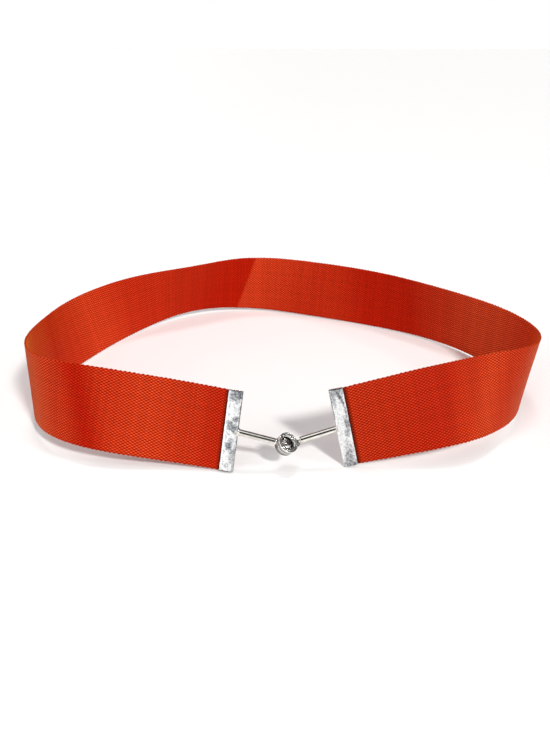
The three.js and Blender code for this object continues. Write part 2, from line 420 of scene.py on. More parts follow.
def makeSelvedgePoints(stations):
    edge, across, face, distances = stations
    rows = {"places": [], "faceWay": [], "outWay": []}
    for height, way, first in zip((0, webbing["width"]), (-1, 1), selvedge["firstWefts"]):
        inset = way * selvedge["loopRadius"] * selvedge["inset"]
        picks = np.arange(first, len(edge) - selvedge["bareWefts"], 2)
        rise = creaseAndPaintedLightAt(distances, np.full(len(edge), height))[1]
        rows["places"].append((edge + across * (height - inset) - face * rise[:, None])[picks])
        rows["faceWay"].append(face[picks])
        rows["outWay"].append(across[picks] * way)
    points = newPiece("selvedge_loops", np.concatenate(rows["places"]), [])
    for label in ("faceWay", "outWay"):
        setPointValues(points, label, np.concatenate(rows[label]), "FLOAT_VECTOR")
    return points


def makeSelvedgeTree():
    tree, given, out = newTree(
        "selvedgeLoops",
        "GeometryNodeTree",
        {
            "Geometry": "Geometry",
            "Loop Radius": "Float",
            "Yarn Radius": "Float",
            "Slant": "Float",
            "Jitter": "Float",
            "Seed": "Int",
            "Yarn": "Material",
        },
        {"Geometry": "Geometry"},
    )
    arc = addNode(tree, "GeometryNodeCurveArc", {
        "Resolution": selvedge["arcSteps"],
        "Start Angle": math.radians(selvedge["arcStart"]),
        "Sweep Angle": math.radians(selvedge["arcSweep"]),
        "Radius": given.outputs["Loop Radius"],
    }, mode="RADIUS")
    # the loop leans along the band, from one weft on the outer face to the next on the inner
    along = splitVector(tree, addNode(tree, "GeometryNodeInputPosition").outputs["Position"])["X"]
    lean = addNode(tree, "ShaderNodeCombineXYZ", {"Z": times(tree, along, given.outputs["Slant"])})
    move = addNode(tree, "GeometryNodeSetPosition", {
        "Geometry": arc.outputs["Curve"],
        "Offset": lean.outputs["Vector"],
    })
    ring = addNode(tree, "GeometryNodeCurvePrimitiveCircle", {
        "Resolution": selvedge["yarnSides"],
        "Radius": given.outputs["Yarn Radius"],
    }, mode="RADIUS")
    tube = addNode(tree, "GeometryNodeCurveToMesh", {
        "Curve": move.outputs["Geometry"],
        "Profile Curve": ring.outputs["Curve"],
        "Fill Caps": True,
    })
    turn = addNode(tree, "FunctionNodeAxesToRotation", {
        "Primary Axis": readValues(tree, "faceWay", "FLOAT_VECTOR"),
        "Secondary Axis": readValues(tree, "outWay", "FLOAT_VECTOR"),
    }, primary_axis="X", secondary_axis="Y")
    vary = addNode(tree, "FunctionNodeRandomValue", {
        2: calc(tree, "SUBTRACT", 1.0, given.outputs["Jitter"]),
        3: calc(tree, "ADD", 1.0, given.outputs["Jitter"]),
        "Seed": given.outputs["Seed"],
    }, data_type="FLOAT")
    place = addNode(tree, "GeometryNodeInstanceOnPoints", {
        "Points": given.outputs["Geometry"],
        "Instance": tube.outputs["Mesh"],
        "Rotation": turn.outputs["Rotation"],
        "Scale": vary.outputs[1],
    })
    endTree(tree, place.outputs["Instances"], given.outputs["Yarn"], out)
    return tree


# Shader group: one crossing per whole number of picks and threads, as height, masks for the pits' painted
# shade and the tips' painted highlight, and yarn tone
weaveLook = {
    "upperShape": 0.65,  # below 1 the floats are fuller
    "lowerHeight": 0.3,
    "filaments": (0.9, 7.0),  # noise waves per pick and per thread
    "filamentHeight": 0.12,
    # crossing values over which the pits' painted shade gives way to the float, and the float to the tips'
    # painted highlight
    "floatRange": (-0.95, 0.1),
    "tipRange": (0.35, 0.95),
}


def makeWeaveGroup(look):
    tree, given, out = newTree(
        "plainWeave",
        "ShaderNodeTree",
        {"Threads": "Vector"},
        {"Height": "Float", "Float": "Float", "Tip": "Float", "Tone": "Float"},
    )
    pick, thread, _ = splitVector(tree, given.outputs["Threads"])
    crossing = crossingOf(tree, pick, thread)
    upper = calc(tree, "POWER", calc(tree, "MAXIMUM", crossing, 0.0), look["upperShape"])
    under = calc(tree, "MAXIMUM", times(tree, crossing, -1.0), 0.0)
    lower = times(tree, under, look["lowerHeight"])
    # fine filaments: along the belt on the upper floats, across it on the lower ones
    along, across = (times(tree, *pair) for pair in zip((pick, thread), look["filaments"]))
    stretched = addNode(tree, "ShaderNodeCombineXYZ", {"X": along, "Y": across}).outputs["Vector"]
    filament = addNode(tree, "ShaderNodeTexNoise", {"Scale": 1.0, "Detail": 1.0, "Vector": stretched},
                       noise_dimensions="2D")
    fuzz = times(tree, filament.outputs["Fac"], look["filamentHeight"])
    height = calc(tree, "ADD", calc(tree, "ADD", upper, lower), fuzz)
    # every thread took the dye a little differently
    tones = []
    for value in (pick, thread):
        whole = calc(tree, "FLOOR", calc(tree, "ADD", value, 0.5))
        grain = addNode(tree, "ShaderNodeTexWhiteNoise", {"W": whole}, noise_dimensions="1D")
        tones.append(times(tree, grain.outputs["Value"], 0.5))
    tree.links.new(height, out.inputs["Height"])
    tree.links.new(remap(tree, crossing, *look["floatRange"], smooth=True), out.inputs["Float"])
    tree.links.new(remap(tree, crossing, *look["tipRange"], smooth=True), out.inputs["Tip"])
    tree.links.new(calc(tree, "ADD", *tones), out.inputs["Tone"])
    return tree


clothLook = {
    "floatColour": (0.57, 0.041, 0.004),
    "shadedFloatColour": (0.42, 0.0055, 0.0008),  # painted shade: the float's colour where the cloth is shown shaded
    # painted highlight on the float tips
    "tipHighlightColour": (0.87, 0.145, 0.07),
    # painted shade in the pits between the floats
    "pitShadeColour": (0.23, 0.001, 0.0003),
    # painted shade: the shadow line at the clamps' mouths and the darker outer face
    "paintedShadeColour": (0.045, 0.004, 0.001),
    "toneRange": (0.86, 1.1),
    "roughness": 0.45,
    "specular": 0.022,
    "sheen": 0.4,
    "sheenRoughness": 0.35,
    "sheenTint": (1.0, 0.3, 0.02),
    "bump": 0.1 * mm,
    "twistSize": 0.5 * mm,
    "twistBump": 0.1 * mm / 3,
}


def setSheen(shader, look):
    shader.inputs["Roughness"].default_value = look["roughness"]
    shader.inputs["Specular IOR Level"].default_value = look["specular"]
    shader.inputs["Sheen Weight"].default_value = look["sheen"]
    shader.inputs["Sheen Roughness"].default_value = look["sheenRoughness"]
    shader.inputs["Sheen Tint"].default_value = (*look["sheenTint"], 1)


def makeClothMaterial(group, look):
    material, tree, shader = newMaterial("orangeWebbing")
    threads = addNode(tree, "ShaderNodeUVMap", uv_map="Weave")
    weave = addNode(tree, "ShaderNodeGroup", {"Threads": threads.outputs["UV"]}, node_tree=group)
    # The shade attribute mixes the float's painted shaded colour with its lit one, and the tips' painted
    # highlight likewise
    shade = readShade(tree, "shade")
    body = mixColours(tree, shade, look["shadedFloatColour"], look["floatColour"])
    tip = mixColours(tree, shade, look["floatColour"], look["tipHighlightColour"])
    # the pits get painted shade and the tips a painted highlight
    colour = mixColours(tree, weave.outputs["Float"], look["pitShadeColour"], body)
    colour = mixColours(tree, weave.outputs["Tip"], colour, tip)
    # painted shade at the clamps' mouths and on the outer face
    colour = mixColours(tree, readShade(tree, "paintedShade"), colour, look["paintedShadeColour"])
    tone = remap(tree, weave.outputs["Tone"], 0, 1, *look["toneRange"])
    tree.links.new(scaled(tree, colour, tone), shader.inputs["Base Color"])
    addBump(tree, shader, weave.outputs["Height"], look["bump"])
    setSheen(shader, look)
    return material


def makeYarnMaterial(look):
    material, tree, shader = newMaterial("selvedgeYarn")
    place = addNode(tree, "ShaderNodeTexCoord").outputs["Object"]
    # the twist's noise mixes the float colour with the pits' darker painted shade colour
    twist = addNode(tree, "ShaderNodeTexNoise", {"Scale": 1 / look["twistSize"], "Vector": place})
    colour = mixColours(tree, twist.outputs["Fac"], look["pitShadeColour"], look["floatColour"])
    tree.links.new(colour, shader.inputs["Base Color"])
    addBump(tree, shader, twist.outputs["Fac"], look["twistBump"])
    setSheen(shader, look)
    return material


stations = bandStations()
band = useTree(
    makeBandMesh(stations),
    makeWeaveTree(),
    {"Relief": webbing["relief"], "Yarn": makeClothMaterial(makeWeaveGroup(weaveLook), clothLook)},
)
loops = useTree(
    makeSelvedgePoints(stations),
    makeSelvedgeTree(),
    {
        "Loop Radius": selvedge["loopRadius"],
        "Yarn Radius": selvedge["yarnRadius"],
        "Slant": webbing["weftPitch"] / (2 * selvedge["loopRadius"]),
        "Jitter": selvedge["jitter"],
        "Seed": selvedge["seed"],
        "Yarn": makeYarnMaterial(clothLook),
    },
)
loops.data.shade_smooth()
dress(band, "webbing", "webbing_band")
dress(loops, "webbing")
print(f"belt: webbing woven, {len(band.data.polygons)} faces, and {len(loops.data.polygons)} on the selvedge")


# Metal finish shared by all the plated pieces: soft blotches, fine scratches and uneven polish
plating = {
    "blotchDetail": 4,
    "blotchRoughness": 0.55,
    "blotchRange": (0.42, 0.6),
    "grainDetail": 3,
    "grainRange": (0.35, 0.65),
    "grainHeight": 0.2,
    "scratchDistortion": 18,
    "scratchRange": (0.86, 1.0),
    "scratchRoughness": 0.08,
}


def makePlatingGroup(look):
    tree, given, out = newTree(
        "wornPlating",
        "ShaderNodeTree",
        {"Place": "Vector", "Blotch Size": "Float", "Grain Size": "Float"},
        {"Blotch": "Float", "Grain": "Float", "Scratch": "Float", "Height": "Float"},
    )
    place = given.outputs["Place"]
    blotchScale = calc(tree, "DIVIDE", 1.0, given.outputs["Blotch Size"])
    grainScale = calc(tree, "DIVIDE", 1.0, given.outputs["Grain Size"])
    blotch = addNode(tree, "ShaderNodeTexNoise", {
        "Vector": place,
        "Scale": blotchScale,
        "Detail": look["blotchDetail"],
        "Roughness": look["blotchRoughness"],
    })
    grain = addNode(tree, "ShaderNodeTexNoise", {
        "Vector": place,
        "Scale": grainScale,
        "Detail": look["grainDetail"],
    })
    scratch = addNode(tree, "ShaderNodeTexWave", {
        "Vector": place,
        "Scale": grainScale,
        "Distortion": look["scratchDistortion"],
        "Detail": look["grainDetail"],
    }, wave_type="BANDS", bands_direction="DIAGONAL")
    blotched = remap(tree, blotch.outputs["Fac"], *look["blotchRange"], smooth=True)
    tree.links.new(blotched, out.inputs["Blotch"])
    tree.links.new(remap(tree, grain.outputs["Fac"], *look["grainRange"]), out.inputs["Grain"])
    tree.links.new(remap(tree, scratch.outputs["Fac"], *look["scratchRange"]), out.inputs["Scratch"])
    roughened = times(tree, grain.outputs["Fac"], look["grainHeight"])
    tree.links.new(calc(tree, "ADD", blotch.outputs["Fac"], roughened), out.inputs["Height"])
    return tree


# Where look has a patchRange, the piece carries its own map of painted dark reflections and shade, as the
# attribute patch
def makePlatedMaterial(name, group, look):
    material, tree, shader = newMaterial(name)
    wear = addNode(tree, "ShaderNodeGroup", {
        "Place": addNode(tree, "ShaderNodeTexCoord").outputs["Object"],
        "Blotch Size": look["blotchSize"],
        "Grain Size": look["grainSize"],
    }, node_tree=group)
    mask = wear.outputs["Blotch"]
    if "patchRange" in look:
        ragged = times(tree, wear.outputs["Grain"], look["ragged"])
        patch = calc(tree, "ADD", readShade(tree, "patch"), ragged)
        patch = remap(tree, patch, *look["patchRange"])
        mask = calc(tree, "MAXIMUM", times(tree, mask, look["blotchShare"]), patch)
    tree.links.new(mixColours(tree, mask, look["bright"], look["dullAndShaded"]), shader.inputs["Base Color"])
    scratched = times(tree, wear.outputs["Scratch"], plating["scratchRoughness"])
    rough = calc(tree, "ADD", remap(tree, mask, 0, 1, *look["roughness"]), scratched)
    tree.links.new(rough, shader.inputs["Roughness"])
    shader.inputs["Metallic"].default_value = 1
    addBump(tree, shader, wear.outputs["Height"], look["bump"])
    return material


platingGroup = makePlatingGroup(plating)
sheetMetal = makePlatedMaterial("platedSheet", platingGroup, {
    "bright": (0.97, 0.98, 0.985),
    "dullAndShaded": (0.15, 0.165, 0.19),
    "blotchSize": 2.2 * mm,
    "blotchShare": 0.1,
    "grainSize": 0.8 * mm,
    "roughness": (0.2, 0.3),
    "bump": 0.1 * mm,
    "patchRange": (0.25, 1.75),
    "ragged": 0.8,
})
rodMetal = makePlatedMaterial("polishedRod", platingGroup, {
    "bright": (0.83, 0.8, 0.75),
    "dullAndShaded": (0.7, 0.67, 0.62),
    "blotchSize": 3 * mm,
    "grainSize": 0.4 * mm,
    "roughness": (0.05, 0.1),
    "bump": 0.01 * mm,
})
cupMetal = makePlatedMaterial("turnedCup", platingGroup, {
    "bright": (0.8, 0.785, 0.76),
    "dullAndShaded": (0.05, 0.048, 0.048),
    "blotchSize": 1.6 * mm,
    "blotchShare": 0.1,
    "grainSize": 0.3 * mm,
    "roughness": (0.14, 0.28),
    "bump": 0.02 * mm,
    "patchRange": (0.2, 0.8),
    "ragged": 0.0,
})


# A folded clamp's own place: x from the mouth to the fold, y through the cloth, z up the band's end
clamp = {
    "depth": 6.5 * mm,
    "sheet": 0.4 * mm,
    "slot": 1.6 * mm,
    "pinch": 0.22 * mm,  # how far each lip is pressed in to grip the cloth
    "pinchReach": 0.6,  # share of the plate that the pinch bends
    "foldSteps": 10,
    "step": 0.4 * mm,
    "mouthWave": 0.12 * mm,
    "mouthReach": 1.2 * mm,
    "waveSize": 2.5 * mm,
    "dent": 0.07 * mm,
    "dentSize": 3.5 * mm,
    "rim": 0.09 * mm,
    "rimAngle": 50,
    "frontFrom": 0.3 * mm,
    "foldFrom": 6 * mm,
    "raggedness": 0.35,
    "ragSize": 1.3 * mm,
}


def clampPlace(side):
    end = 0.0 if side == "left" else float(lastRow)
    edge, along, across, _ = (row[0] for row in bandFrame(np.array([end])))
    towardsFold = along * (-1 if side == "left" else 1)
    through = np.cross(across, towardsFold)
    middle = edge + across * webbing["width"] / 2
    place = Matrix([[*row, 0] for row in np.stack([towardsFold, through, across], axis=1)] + [[0, 0, 0, 1]])
    place.translation = Vector(middle)
    return place


# Middle line of the folded sheet: out along the front plate, round the fold, back along the other
def foldLine():
    half = (clamp["slot"] + clamp["sheet"]) / 2
    straight = clamp["depth"] - clamp["sheet"] / 2 - half
    steps = round(straight / clamp["step"])
    line = []
    for k in range(steps):
        x = straight * k / steps
        grip = clamp["pinch"] * (0.5 + 0.5 * math.cos(math.pi * min(x / (clamp["pinchReach"] * straight), 1)))
        line.append((x, half - grip))
    turns = [math.pi * k / clamp["foldSteps"] for k in range(clamp["foldSteps"] + 1)]
    arc = [(straight + half * math.sin(turned), half * math.cos(turned)) for turned in turns]
    return line + arc + [(x, -y) for x, y in reversed(line)]


# How dark the painted reflection and shade on the sheet is at x, y, z of the clamp's own place
def platePaintedDarkening(look, x, y, z):
    paintedDarkening = look["bare"]
    if y * look["front"] <= clamp["frontFrom"] and x <= clamp["foldFrom"]:
        return paintedDarkening
    rag = 1 + clamp["raggedness"] * noise.noise(Vector((x, y, z)) / clamp["ragSize"] + look["noiseShift"])
    for placeX, placeZ, halfX, halfZ, strength in look["patches"]:
        reach = math.hypot((x / mm - placeX) / halfX, (z / mm - placeZ) / halfZ)
        paintedDarkening = max(paintedDarkening, strength * min(max(2.0 - 1.3 * reach * rag, 0), 1))
    return paintedDarkening


def makeClamp(look):
    place = clampPlace(look["side"])
    line = foldLine()
    rows = round(webbing["width"] / clamp["step"])
    points, paintedDarkening = [], []
    for i in range(rows + 1):
        z = (i / rows - 0.5) * webbing["width"]
        for k, (x, y) in enumerate(line):
            before, after = line[max(k - 1, 0)], line[min(k + 1, len(line) - 1)]
            normal = Vector((-(after[1] - before[1]), after[0] - before[0], 0)).normalized()
            dent = noise.noise(Vector((x, y * 3, z)) / clamp["dentSize"] + look["noiseShift"])
            wave = noise.noise(Vector((z / clamp["waveSize"], y * 50, 3)) + look["noiseShift"])
            wave *= clamp["mouthWave"] * max(0.0, 1 - x / clamp["mouthReach"])
            points.append(place @ (Vector((x + wave, y, z)) + normal * clamp["dent"] * dent))
            paintedDarkening.append(platePaintedDarkening(look, x, y, z))
    n = len(line)
    corners = [i * n + k for i in range(rows) for k in range(n - 1)]
    sheet = newPiece(look["piece"], points, [(a, a + 1, a + n + 1, a + n) for a in corners])
    setPointValues(sheet, "patch", paintedDarkening)
    sheet.data.materials.append(sheetMetal)
    wall = sheet.modifiers.new("wall", "SOLIDIFY")
    wall.thickness = clamp["sheet"]
    wall.offset = 0
    rim = sheet.modifiers.new("rim", "BEVEL")
    rim.width = clamp["rim"]
    rim.segments = 2
    rim.limit_method = "ANGLE"
    rim.angle_limit = math.radians(clamp["rimAngle"])
    bakeModifiers(sheet)
    return dress(faceOutwards(sheet), "polished_metal", look["replaces"])


# front is the side of the cloth that is seen, and bare how dark the painted shading is between the patches. A
# patch of painted
# dark reflection and shade: x and z of its middle, half sizes in x and z, in mm, and how dark.
leftClamp = {
    "piece": "left_clamp_sheet",
    "replaces": "left_clasp_half",
    "side": "left",
    "front": -1,
    "noiseShift": Vector((11, 0, 0)),
    "bare": -0.25,
    "patches": [
        (3.3, 17.0, 2.6, 2.8, 1.05),
        (5.2, 17.4, 1.3, 1.8, 1.3),
        (4.6, 5.9, 1.5, 1.1, 1.0),
        (2.3, 3.0, 1.1, 2.2, 1.1),
        (4.3, 1.6, 1.0, 1.9, 1.1),
        (2.2, -1.3, 0.5, 0.6, 0.7),
        (3.6, -4.4, 1.1, 1.1, 0.8),
        (2.8, -6.8, 1.4, 1.6, 1.2),
        (4.6, -10.5, 0.6, 2.6, 0.8),
        (6.0, -9.5, 0.9, 3.2, 0.85),
        (6.1, -14.5, 0.6, 4.2, 0.9),
        (4.9, -13.4, 0.9, 1.8, 0.5),
        (2.8, -16.2, 1.1, 1.2, 0.45),
        (1.3, 4, 0.3, 15, 0.6),
        # painted shadow under the clamp's lower edge
        (3.2, -19.4, 4.5, 0.6, 1.3),
        # painted dark line along the fold
        (6.5, 0, 0.5, 26, 1.3),
    ],
}
rightClamp = {
    "piece": "right_clamp_sheet",
    "replaces": "right_clasp_half",
    "side": "right",
    "front": 1,
    "noiseShift": Vector((0, 23, 0)),
    "bare": -0.8,
    "patches": [
        (3.2, 18.3, 3.3, 1.2, 0.85),
        (5.4, 15.8, 1.2, 3.4, 0.8),
        (3.2, 17.4, 0.6, 0.8, 1.3),
        (2.6, 16.2, 0.6, 0.9, 1.3),
        (2.0, 14.9, 0.6, 1.0, 1.3),
        (1.5, 13.4, 0.5, 1.0, 1.3),
        (1.0, 11.6, 0.4, 1.2, 1.1),
        (0.8, 17.2, 0.9, 1.3, 0.6),
        (0.7, 7.5, 0.4, 3.6, 0.9),
        (1.2, 2.0, 0.9, 3.4, 1.0),
        (1.8, -2.6, 0.9, 2.0, 0.8),
        (2.5, -9, 1.5, 2.4, 0.5),
        (2.4, -12.4, 1.7, 1.9, 0.85),
        (3.0, -15.4, 2.2, 2.0, 0.9),
        (2.6, -17.8, 2.8, 1.3, 1.1),
        # painted shadow under the clamp's lower edge
        (3.2, -19.4, 4.5, 0.6, 1.2),
        # painted dark line along the upper fold
        (6.5, 12, 0.5, 9, 0.9),
    ],
}
makeClamp(leftClamp)
makeClamp(rightClamp)
print("belt: clamps folded")


def circle(centre, first, second, radius, count):
    angles = [2 * math.pi * j / count for j in range(count)]
    return [centre + (first * math.cos(a) + second * math.sin(a)) * radius for a in angles]


# A round tube through points, with a radius at each, closed by its two tips or into a ring
def sweepTube(points, radii, sides, ring=False):
    count = len(points)
    tangents = []
    for k in range(count):
        before = points[(k - 1) % count] if ring or k else points[0]
        after = points[(k + 1) % count] if ring or k < count - 1 else points[-1]
        tangents.append((after - before).normalized())
    normal = tangents[0].orthogonal().normalized()
    made, faces = [], []
    for k in range(count):
        normal = (normal - tangents[k] * normal.dot(tangents[k])).normalized()
        made += circle(points[k], normal, tangents[k].cross(normal), radii[k], sides)
    for k in range(count if ring else count - 1):
        for j in range(sides):
            a, b = k * sides + j, k * sides + (j + 1) % sides
            up = sides if k < count - 1 else sides - count * sides
            faces.append((a, b, b + up, a + up))
    if not ring:
        for k, tip in ((0, points[0]), (count - 1, points[-1])):
            made.append(tip)
            pole = len(made) - 1
            faces += [(k * sides + j, k * sides + (j + 1) % sides, pole) for j in range(sides)]
    return made, faces


# Places and radii along a straight rod with rounded ends
def straightRod(start, end):
    way = (end - start).normalized()
    length = (end - start).length
    steps, fillet = bar["endSteps"], bar["endRound"]
    angles = [math.pi / 2 * k / steps for k in range(steps + 1)]
    offs = [fillet * (1 - math.cos(a)) for a in angles]
    radii = [max(bar["radius"] - fillet * (1 - math.sin(a)), bar["tipRadius"]) for a in angles]
    middle = [fillet + (length - 2 * fillet) * k / bar["steps"] for k in range(1, bar["steps"])]
    spots = [start + way * off for off in offs + middle] + [end - way * off for off in reversed(offs)]
    return spots, radii + [bar["radius"]] * len(middle) + radii[::-1]


# Points along a Catmull-Rom curve through the corners
def smoothPath(corners, steps):
    path = []
    for k in range(len(corners) - 1):
        a, b, c, d = (corners[min(max(k + o, 0), len(corners) - 1)] for o in (-1, 0, 1, 2))
        for s in range(steps):
            f = s / steps
            square = (2 * a - 5 * b + 4 * c - d) * f * f
            cube = (3 * b - a - 3 * c + d) * f**3
            path.append(0.5 * ((2 * b) + (c - a) * f + square + cube))
    path.append(corners[-1])
    return path


# One piece of one or more closed parts. The function given last, if there is one, gives the painted dark
# reflection and shade at a point.
def joinParts(name, parts, material, node, paintedDarkening=None):
    points, faces = [], []
    for partPoints, partFaces in parts:
        start = len(points)
        points += partPoints
        faces += [tuple(i + start for i in face) for face in partFaces]
    obj = newPiece(name, points, faces)
    obj.data.materials.append(material)
    if paintedDarkening:
        setPointValues(obj, "patch", [paintedDarkening(p) for p in points])
    obj.data.set_sharp_from_angle(angle=math.radians(40))
    return dress(faceOutwards(obj), "polished_metal", node)


# The round setting between the bars; faceTurn and faceTilt are the way that the stone looks
setting = {
    "centre": Vector((-0.9, -96.5, 12.7)) * mm,
    "faceTurn": 48,
    "faceTilt": 48,
    "radius": 4.9 * mm,
    "half": 2.4 * mm,
    "pocketRadius": 2.9 * mm,
    "mouthRadius": 3.3 * mm,
    "pocketDepth": 3.4 * mm,
    "sides": 72,
    "filletSteps": 4,
    "paintedLightWay": Vector((-0.711, -0.701, 0.053)),  # to the left across the face, where the rim gets its painted highlight
}
# The cup's wall and rim: how far in from its radius, how far back from its face, and fillet, in mm
cupProfile = [
    (0.1, 2.1, 0.1),
    (0.3, 1.9, 0.05),
    (0.3, 1.7, 0.05),
    (0.1, 1.5, 0.1),
    (0.1, 1.0, 0.05),
    (0.25, 0.9, 0.05),
    (0, 0.75, 0.1),
    (0, 0, 0.35),
    (0.55, 0, 0.1),
    (0.65, 0.18, 0.05),
    (0.85, 0.18, 0.05),
    (0.95, 0.02, 0.1),
]
bar = {
    "radius": 1.55 * mm,
    "endRound": 0.35 * mm,
    "tipRadius": 0.05 * mm,
    "endSteps": 5,
    "steps": 10,
    "sides": 32,
    "intoCup": 3.9 * mm,  # how near the middle of the cup the left bar ends
}
# Solder: a collar where each bar leaves its clamp, and a bead where the left bar meets the cup. Places are
# distances from the bar's root and from the cup's middle.
solder = {
    "collar": (-0.6 * mm, 0.9 * mm),
    "collarRadius": 1.8 * mm,
    "collarLump": 0.5,
    "atCup": (5.6 * mm, 4.3 * mm),
    "atCupRadius": 1.7 * mm,
    "atCupLump": 0.3,
    "lumpSize": 1.1 * mm,
    "leastRadius": 0.1 * mm,
    "steps": 8,
    "sides": 24,
}
# Places of the hook and the catch ring are distances from the middle of the cup
hook = {"radius": 0.5 * mm, "barEnd": 6.6 * mm, "lead": 1.2 * mm, "reach": 1.4 * mm, "steps": 6, "sides": 16}
# The catch ring's plating is darkened by a painted shade
catch = {"radius": 0.45 * mm, "ringRadius": 1.3 * mm, "fromCentre": 6.05 * mm, "steps": 40, "sides": 14,
         "paintedDarkening": 0.6}

faceWay = wayOf(setting["faceTurn"], setting["faceTilt"])
leftPlace, rightPlace = clampPlace("left"), clampPlace("right")


# Points of a profile with its corners rounded: each entry is radius, height and fillet
def roundedProfile(corners):
    line = []
    steps = setting["filletSteps"]
    for k, (x, y, fillet) in enumerate(corners):
        here = Vector((x, y))
        if fillet == 0 or k in (0, len(corners) - 1):
            line.append(here)
            continue
        back = Vector(corners[k - 1][:2]) - here
        ahead = Vector(corners[k + 1][:2]) - here
        reach = min(fillet, back.length * 0.45, ahead.length * 0.45)
        first, last = here + back.normalized() * reach, here + ahead.normalized() * reach
        for s in range(steps + 1):
            f = s / steps
            line.append(first * (1 - f) ** 2 + here * 2 * f * (1 - f) + last * f * f)
    return line


def turnProfile(corners, centre, way, sides):
    spin = way.to_track_quat("Z", "Y").to_matrix()
    points, faces, rings = [], [], []
    for r, h in roundedProfile(corners):
        start = len(points)
        if r < 1e-7:
            points.append(centre + spin @ Vector((0, 0, h)))
            rings.append([start] * sides)
            continue
        angles = [2 * math.pi * j / sides for j in range(sides)]
        points += [centre + spin @ Vector((r * math.cos(a), r * math.sin(a), h)) for a in angles]
        rings.append(list(range(start, start + sides)))
    for low, high in zip(rings, rings[1:]):
        for j in range(sides):
            k = (j + 1) % sides
            faces.append(tuple(dict.fromkeys((low[j], low[k], high[k], high[j]))))
    return points, faces


def makeCup():
    r, half = setting["radius"], setting["half"]
    seat = half - setting["pocketDepth"]
    corners = [(0, -half, 0), (r - 0.1 * mm, -half, 0.5 * mm)]
    corners += [(r - inset * mm, half - back * mm, fillet * mm) for inset, back, fillet in cupProfile]
    corners += [
        (setting["mouthRadius"], half - 0.02 * mm, 0.12 * mm),
        (setting["pocketRadius"], half - 0.4 * mm, 0.1 * mm),
        (setting["pocketRadius"], half - 1.8 * mm, 0.1 * mm),
        (0.8 * mm, seat, 0.1 * mm),
        (0, seat, 0),
    ]

    # Painted shade and highlights: black in the pocket and painted shade in the groove, grey painted shade on
    # the outer edges and the wall, and a painted highlight on the left of the rim and the right of the mouth
    def paintedCupShading(point):
        off = point - setting["centre"]
        level = off.dot(faceWay)
        across = off - faceWay * level
        radius = across.length
        paintedShadingShare = across.dot(setting["paintedLightWay"]) / max(radius, 0.01 * mm)
        aboveBack = level > -half + 0.1 * mm
        if aboveBack and radius < setting["mouthRadius"] + 0.1 * mm:
            return 1.0 if level < half - 1.2 * mm else min(max(0.55 + 0.9 * paintedShadingShare, 0), 1)
        if level > half - 0.4 * mm:
            if radius > r - 0.4 * mm:
                return min(max(0.6 - 0.9 * paintedShadingShare, 0), 1)
            return 0.6 if r - 0.9 * mm < radius < r - 0.6 * mm else 0.35
        if aboveBack and radius < r - 0.2 * mm:
            return 0.9
        return 0.75 if level < -half + 0.6 * mm else 0.35

    cup = turnProfile(corners, setting["centre"], faceWay, setting["sides"])
    return joinParts("stone_cup", [cup], cupMetal, "left_clasp_half", paintedCupShading)


# A bead of solder: a short tube whose radius swells in the middle and wanders a little
def solderBead(start, end, radius, lump, seed):
    steps = solder["steps"]
    spots = [start.lerp(end, k / steps) for k in range(steps + 1)]
    swells = [math.sin(math.pi * min(max(k / steps, 0.04), 0.96)) ** 0.45 for k in range(steps + 1)]
    radii = [max(radius * swell, solder["leastRadius"]) for swell in swells]
    points, faces = sweepTube(spots, radii, solder["sides"])
    axis = (end - start).normalized()
    moved = []
    for p in points:
        off = p - start
        off -= axis * off.dot(axis)
        moved.append(p + off * lump * noise.noise(p / solder["lumpSize"] + Vector((seed, 0, 0))))
    return moved, faces


def barWithCollar(root, way, end, seed):
    low, high = (root + way * off for off in solder["collar"])
    collar = solderBead(low, high, solder["collarRadius"], solder["collarLump"], seed)
    return [sweepTube(*straightRod(root, end), bar["sides"]), collar]


def makeLeftBar():
    centre = setting["centre"]
    root = leftPlace @ Vector((clamp["depth"] - clamp["sheet"] / 2, 0, 0))
    way = (centre - root).normalized()
    parts = barWithCollar(root, way, centre - way * bar["intoCup"], 2)
    first, last = (centre - way * off for off in solder["atCup"])
    parts.append(solderBead(first, last, solder["atCupRadius"], solder["atCupLump"], 9))
    joinParts("left_bar", parts, rodMetal, "left_clasp_half")


# The hook leaves the right bar's end and turns down through the catch ring
def makeRightBarAndCatch():
    centre = setting["centre"]
    root = rightPlace @ Vector((clamp["depth"] - clamp["sheet"] / 2, 0, 0))
    way = (centre - (rightPlace @ Vector((clamp["depth"], 0, 0)))).normalized()
    sideWay = -way
    sideWay = (sideWay - faceWay * sideWay.dot(faceWay)).normalized()
    ringCentre = centre + sideWay * catch["fromCentre"]

    def fromRing(depth, along):
        return ringCentre - faceWay * depth + sideWay * along

    wire = smoothPath([
        centre - way * (hook["barEnd"] + hook["lead"]),
        centre - way * hook["barEnd"],
        fromRing(-hook["lead"], 0),
        fromRing(0, 0),
        fromRing(hook["reach"] * 0.7, 0.1 * mm),
        fromRing(hook["reach"], 0.7 * mm),
    ], hook["steps"])
    radii = [hook["radius"]] * (len(wire) - 2) + [hook["radius"] * 0.85, hook["radius"] * 0.45]
    parts = barWithCollar(root, way, centre - way * hook["barEnd"], 5)
    parts.append(sweepTube(wire, radii, hook["sides"]))
    joinParts("right_bar", parts, rodMetal, "right_clasp_half")

    loop = circle(ringCentre, sideWay, faceWay.cross(sideWay), catch["ringRadius"], catch["steps"])
    ring = sweepTube(loop, [catch["radius"]] * catch["steps"], catch["sides"], ring=True)
    joinParts("catch_ring", [ring], cupMetal, "left_clasp_half", lambda point: catch["paintedDarkening"])


makeCup()
makeLeftBar()
makeRightBarAndCatch()
print("belt: bars, cup, ring and hook made")


